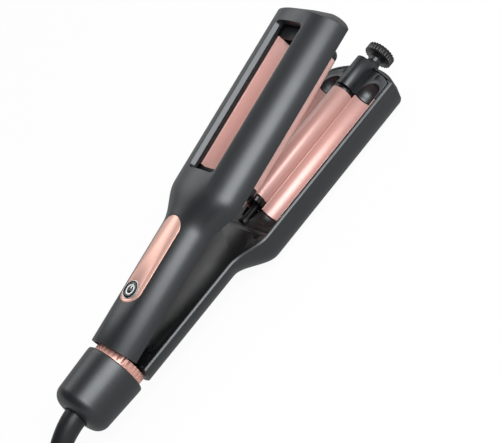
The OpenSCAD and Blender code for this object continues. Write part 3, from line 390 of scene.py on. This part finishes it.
def smooth_line(points, parts):
    """A Catmull-Rom curve through the points, each span cut into parts."""
    line = []
    for i in range(len(points) - 1):
        a, b = points[max(i - 1, 0)], points[i]
        c, d = points[i + 1], points[min(i + 2, len(points) - 1)]
        for k in range(parts):
            t = k / parts
            line.append(0.5 * (2 * b + (c - a) * t + (2 * a - 5 * b + 4 * c - d) * t ** 2
                               + (3 * b - a - 3 * c + d) * t ** 3))
    return line + [points[-1]]


def tube(name, line, radius_at, sides):
    """A closed tube along a line, and its length; radius_at takes the share of the way along."""
    rings, side = [], Vector((0, 1, 0))
    lengths = [0.0]
    for a, b in zip(line, line[1:]):
        lengths.append(lengths[-1] + (b - a).length)
    for i, p in enumerate(line):
        ahead = (line[min(i + 1, len(line) - 1)] - line[max(i - 1, 0)]).normalized()
        side = (side - ahead * side.dot(ahead)).normalized()
        up = ahead.cross(side)
        r = radius_at(lengths[i] / lengths[-1])
        rings.append([p + (side * math.cos(a) + up * math.sin(a)) * r
                      for a in (2 * math.pi * j / sides for j in range(sides))])
    faces = [(i * sides + j, i * sides + (j + 1) % sides,
              (i + 1) * sides + (j + 1) % sides, (i + 1) * sides + j)
             for i in range(len(rings) - 1) for j in range(sides)]
    faces.append(tuple(range(sides))[::-1])
    faces.append(tuple((len(rings) - 1) * sides + j for j in range(sides)))
    piece = mesh_piece(name, [p for ring in rings for p in ring], faces)
    shade(piece, TUBE_SMOOTH_DEG)
    return piece, lengths[-1]


def cord_radius(share):
    """The cord is as thick all along."""
    return CORD_D / 2


def boot_radius(share):
    """The boot tapers, slowly at first."""
    return BOOT_R + (BOOT_END_R - BOOT_R) * share ** BOOT_TAPER


boot_line = [CORD_EXIT + Vector(p) * MM for p in BOOT_POINTS]
lead_line = [CORD_EXIT + Vector(p) * MM for p in LEAD_POINTS]
plug_line = [HANK_AT + Vector(p) * MM for p in PLUG_LEAD_POINTS]
cord_line = (smooth_line(boot_line + lead_line, CORD_SPAN_PARTS) + hank_route()
             + smooth_line(plug_line, CORD_SPAN_PARTS))
cord, CORD_LENGTH = tube("cord", cord_line, cord_radius, CORD_SIDES)
seat(cord, "cord", "cord", cord_pvc, "cord_lead", "cord_hank")

boot_start = CORD_EXIT + Vector((BOOT_IN, 0, 0))
boot, _ = tube("cord_boot", [boot_start] + smooth_line(boot_line, BOOT_SPAN_PARTS), boot_radius,
               BOOT_SIDES)
seat(boot, "cord", "cord", cord_pvc, "strain_relief")

# ---------- Shapes cut one by one -------

TOLERANCE = 0.1 * MM
# Shares of a face's normal along an axis. In z: over LEVEL the face lies level, under STANDING
# it stands. In x: over ALONG it looks along the arm. In either: under ACROSS it looks across.
LEVEL, STANDING = 0.9, 0.4
ALONG, ACROSS = 0.8, 0.5
# Lower arm: the height of its rim, the middle of its head, and its tip
SPLIT_Z = 22 * MM
HEAD_MIDDLE_X = 10 * MM
TIP_X = 66 * MM
TIP_DEPTH = 9 * MM
TIP_EDGE_MM, RIM_EDGE_MM = 1.6, 0.8
# Upper arm: its hinge, how far it stands open, and the window along and across it from there
PIVOT = Vector(JOINTS["arm_hinge"]["pos_m"])
OPEN_ANGLE = math.radians(JOINTS["arm_hinge"]["range_deg"][1])
WINDOW_X = Vector((114.7, 210.2)) * MM
WINDOW_HALF_W = 11 * MM
WINDOW_CORNER = 3 * MM
# The window's far wall slopes inwards from its top down to this height over its foot
LIP_FOOT_H = 2.1 * MM
LIP_SLOPE = 1.7 * MM
# Grooves: the middle line of each, and how far out its sides start
GROOVE_Y, GROOVE_Z = 15.8 * MM, 21.8 * MM
GROOVE_SIDE = 7.7 * MM


def faces_out(middle, normal):
    """Whether a face of the lower arm looks away from the middle of the head."""
    return normal.x * (middle.x - HEAD_MIDDLE_X) + normal.y * middle.y > 0


def rim_outside(middle, flat, wall):
    """The outer edge of the lower arm's rim."""
    return (abs(middle.z - SPLIT_Z) < TOLERANCE and flat.z > LEVEL and wall.z < ACROSS
            and faces_out(middle, wall))


def tip_edge(middle, face, wall):
    """The edge between the tip's face and the outside of the lower arm."""
    return (middle.x > TIP_X - TIP_DEPTH and face.x > ALONG and wall.x < ACROSS
            and wall.z < STANDING and faces_out(middle, wall))


def in_upper_arm(point):
    """A point in the upper arm: along it from the hinge, across it, and up."""
    return Matrix.Rotation(OPEN_ANGLE, 3, "Y") @ (point - PIVOT)


def in_window_wall(point):
    """Whether a point lies on the window's far wall or the corners at its ends."""
    p = in_upper_arm(point)
    return (WINDOW_X[0] - TOLERANCE < p.x < WINDOW_X[1] + TOLERANCE
            and WINDOW_HALF_W - WINDOW_CORNER < p.y < WINDOW_HALF_W + TOLERANCE / 2)


def slope_window_lip(piece):
    """Cuts the window's far wall along its length and draws its lower part inwards."""
    mesh = piece.data
    walls, foot = [], math.inf
    for face in mesh.polygons:
        corners = [mesh.vertices[v].co for v in face.vertices]
        stands = abs(face.normal.z) < STANDING
        if stands and all(in_window_wall(corner) for corner in corners):
            walls.append(face.index)
            foot = min([foot] + [in_upper_arm(corner).z for corner in corners])
    cut = foot + LIP_FOOT_H
    select_none(piece, "FACE")
    for index in walls:
        piece.data.polygons[index].select = True
    bpy.ops.object.mode_set(mode="EDIT")
    lean = Matrix.Rotation(-OPEN_ANGLE, 3, "Y")
    bpy.ops.mesh.bisect(plane_co=PIVOT + lean @ Vector((0, 0, cut)),
                        plane_no=lean @ Vector((0, 0, 1)))
    bpy.ops.object.mode_set(mode="OBJECT")
    for vertex in piece.data.vertices:
        p = in_upper_arm(vertex.co)
        if in_window_wall(vertex.co) and foot - TOLERANCE < p.z < cut + TOLERANCE:
            share = (p.y - WINDOW_HALF_W + WINDOW_CORNER) / WINDOW_CORNER
            vertex.co.y -= LIP_SLOPE * share


def paint_gap_shade(piece):
    """Paints shade on the outer side of a groove's sheet: black there stands for the shadow in the
    gap between the sheet and the rim.
    """
    piece.data.materials.append(gap_shade_black)
    for face in piece.data.polygons:
        out_y = abs(face.center.y) - GROOVE_Y
        out = Vector((0, math.copysign(out_y, face.center.y), face.center.z - GROOVE_Z))
        level = abs(face.normal.z) >= LEVEL
        if abs(out_y) > GROOVE_SIDE and face.normal.dot(out) > 0 and not level:
            face.material_index = 1


# ---------- CAD nodes with their finishes ----------

dressed("upper_shell", shell_abs, 0.35, 3, shift=slope_window_lip)
dressed("lower_shell", shell_abs, 0.3, 3,
        cuts=((tip_edge, TIP_EDGE_MM, 3), (rim_outside, RIM_EDGE_MM, 1)))

# Node, finish, width of the rounded corners in mm and their segments
ROUNDED = [
    ("tip_block", shell_abs, 0.3, 2),
    ("tail_cap", shell_abs, 0.3, 2),
    ("rear_block", block_pa, 0.3, 2),
    ("barrel_left", plate_ceramic, 0.25, 2),
    ("barrel_right", plate_ceramic, 0.25, 2),
    ("middle_barrel", plate_ceramic, 0.25, 2),
    ("groove_left", plate_ceramic, 0.25, 2),
    ("groove_right", plate_ceramic, 0.25, 2),
    ("middle_barrel_caps", cap_pbt, 0.2, 2),
    ("barrel_caps_front", cap_pbt, 0.2, 2),
    ("barrel_caps_rear", cap_pbt, 0.2, 2),
    ("lower_liner", lining_abs, 0.1, 2),
    ("upper_liner", lining_abs, 0.3, 2),
    ("upper_chassis", frame_pbt, 0.2, 2),
    ("hinge_arm", frame_pbt, 0.3, 2),
    ("tail_frame", frame_pbt, 0.2, 2),
    ("control_trim", trim_metallised, 0.12, 2),
    ("button_bezel", bezel_chrome, 0.15, 2),
    ("power_button", button_abs, 0.3, 2),
    ("depth_dial", dial_abs, 0.15, 2),
    ("dial_bush", shell_abs, 0.3, 2),
    ("lock_ring", ring_aluminium, 0.1, 1),
    ("cord_tie", tie_nylon, 0.4, 2),
    ("plug_body", plug_pvc, 1.2, 3),
    ("plug_blades", nickel, 0.3, 2),
    ("tip_screws", dark_steel, 0.08, 1),
    ("liner_screws", dark_steel, 0.08, 1),
    ("upper_screws", dark_steel, 0.08, 1),
]
pieces = {row[0]: dressed(*row) for row in ROUNDED}
# The grooves' outer sides get painted shade, black for the shadowed gap beside the rim
for groove in ("groove_left", "groove_right"):
    paint_gap_shade(pieces[groove])

# Nodes that stay as they are: inner pieces, and print too thin to round
PLAIN = {
    "lower_chassis": frame_pbt, "middle_barrel_core": frame_pbt, "swivel_socket": frame_pbt,
    "swivel_core": frame_pbt, "groove_heaters": heater_aluminium,
    "middle_heater": heater_aluminium, "barrel_heaters": heater_aluminium,
    "guide_pins": steel, "cam_shaft": dark_steel, "hinge_pin": steel, "opening_spring": steel,
    "tact_switch": steel, "contact_rings": brass, "thermal_fuse": fuse_ceramic,
    "circuit_board": board_fr4, "status_led": lamp_pc, "dial_arrows": rose_print,
    "power_symbol": symbol_ink,
}
for node, material in PLAIN.items():
    NODES[node].data.materials.clear()
    NODES[node].data.materials.append(material)

# ---------- Floor and background ----------

FLOOR_HALF = 3.0
CARD = "#f4f4f4"
# How white the floor looks, and how bright it is in metal and gloss
VEIL = 0.94
FLOOR_IN_GLOSS = 0.45
# The background in gloss, from the horizon up, and as light on the object
HORIZON_Z, HIGH_Z = 0.05, 0.35
HORIZON_IN_GLOSS, HIGH_IN_GLOSS = 0.8, 0.1
AIR_LIGHT = 0.25


def larger_of(tree, one, other):
    """The larger of two (node, output) values."""
    return add_node(tree, "ShaderNodeMath", [(0, *one), (1, *other)], operation="MAXIMUM")


def floor_card():
    """Matt card that looks white to the eye, in metal and through glass, yet keeps a shadow."""
    made = bpy.data.materials.new("matt white card")
    tree = empty_tree(made)
    ray = add_node(tree, "ShaderNodeLightPath")
    card = add_node(tree, "ShaderNodeBsdfDiffuse", inputs={"Color": linear(CARD)})
    strength = add_node(tree, "ShaderNodeMix", [(MIX_FACTOR, ray, "Is Glossy Ray")],
                        {MIX_A: 1.0, MIX_B: FLOOR_IN_GLOSS}, data_type="FLOAT")
    glow = add_node(tree, "ShaderNodeEmission", [("Strength", strength, "Result")],
                    {"Color": WHITE})
    direct = larger_of(tree, (ray, "Is Camera Ray"), (ray, "Is Glossy Ray"))
    looked_at = larger_of(tree, (direct, "Value"), (ray, "Is Transmission Ray"))
    veil = add_node(tree, "ShaderNodeMath", [(0, looked_at, "Value")], {1: VEIL},
                    operation="MULTIPLY")
    blend = add_node(tree, "ShaderNodeMixShader", [("Fac", veil, "Value"), (1, card, "BSDF"),
                                                   (2, glow, "Emission")])
    add_node(tree, "ShaderNodeOutputMaterial", [("Surface", blend, "Shader")])
    return made


def studio_air():
    """White to the eye and through glass, fading with height in gloss, and faint as a light."""
    made = bpy.data.worlds.new("studio")
    tree = empty_tree(made)
    ray = add_node(tree, "ShaderNodeLightPath")
    facing = add_node(tree, "ShaderNodeTexCoord")
    upward = add_node(tree, "ShaderNodeSeparateXYZ", [("Vector", facing, "Generated")])
    fading = add_node(tree, "ShaderNodeMapRange", [("Value", upward, "Z")], {
        "From Min": HORIZON_Z, "From Max": HIGH_Z,
        "To Min": HORIZON_IN_GLOSS, "To Max": HIGH_IN_GLOSS}, interpolation_type="SMOOTHSTEP")
    unseen = add_node(tree, "ShaderNodeMix", [
        (MIX_FACTOR, ray, "Is Glossy Ray"), (MIX_B, fading, "Result")],
        {MIX_A: AIR_LIGHT}, data_type="FLOAT")
    looked_at = larger_of(tree, (ray, "Is Camera Ray"), (ray, "Is Transmission Ray"))
    strength = add_node(tree, "ShaderNodeMix", [
        (MIX_FACTOR, looked_at, "Value"), (MIX_A, unseen, "Result")],
        {MIX_B: 1.0}, data_type="FLOAT")
    air = add_node(tree, "ShaderNodeBackground", [("Strength", strength, "Result")],
                   {"Color": WHITE})
    add_node(tree, "ShaderNodeOutputWorld", [("Surface", air, "Background")])
    return made


floor = mesh_piece("floor", [(-FLOOR_HALF, -FLOOR_HALF, 0), (FLOOR_HALF, -FLOOR_HALF, 0),
                             (FLOOR_HALF, FLOOR_HALF, 0), (-FLOOR_HALF, FLOOR_HALF, 0)],
                   [(0, 1, 2, 3)])
floor.data.materials.append(floor_card())
scene.world = studio_air()

# ---------- Lamps ----------

# Name, place, point it faces, width and height in metres, watts
SOFTBOXES = [
    ("key", (0.02, -0.53, 0.6), (0.0, -0.01, 0.05), (0.66, 0.6), 7.2),
    ("back", (0.16, 0.68, 0.74), (-0.03, 0, 0.04), (0.8, 0.55), 2.7),
]


def softbox(name, at, towards, size, power):
    """An evenly lit rectangle that faces a point."""
    lamp = bpy.data.lights.new(name, "AREA")
    lamp.shape = "RECTANGLE"
    lamp.size, lamp.size_y = size
    lamp.energy = power
    holder = bpy.data.objects.new(name, lamp)
    scene.collection.objects.link(holder)
    holder.location = at
    holder.rotation_mode = "QUATERNION"
    holder.rotation_quaternion = (Vector(at) - Vector(towards)).to_track_quat("Z", "Y")


for row in SOFTBOXES:
    softbox(*row)

scene.view_settings.view_transform = "Standard"
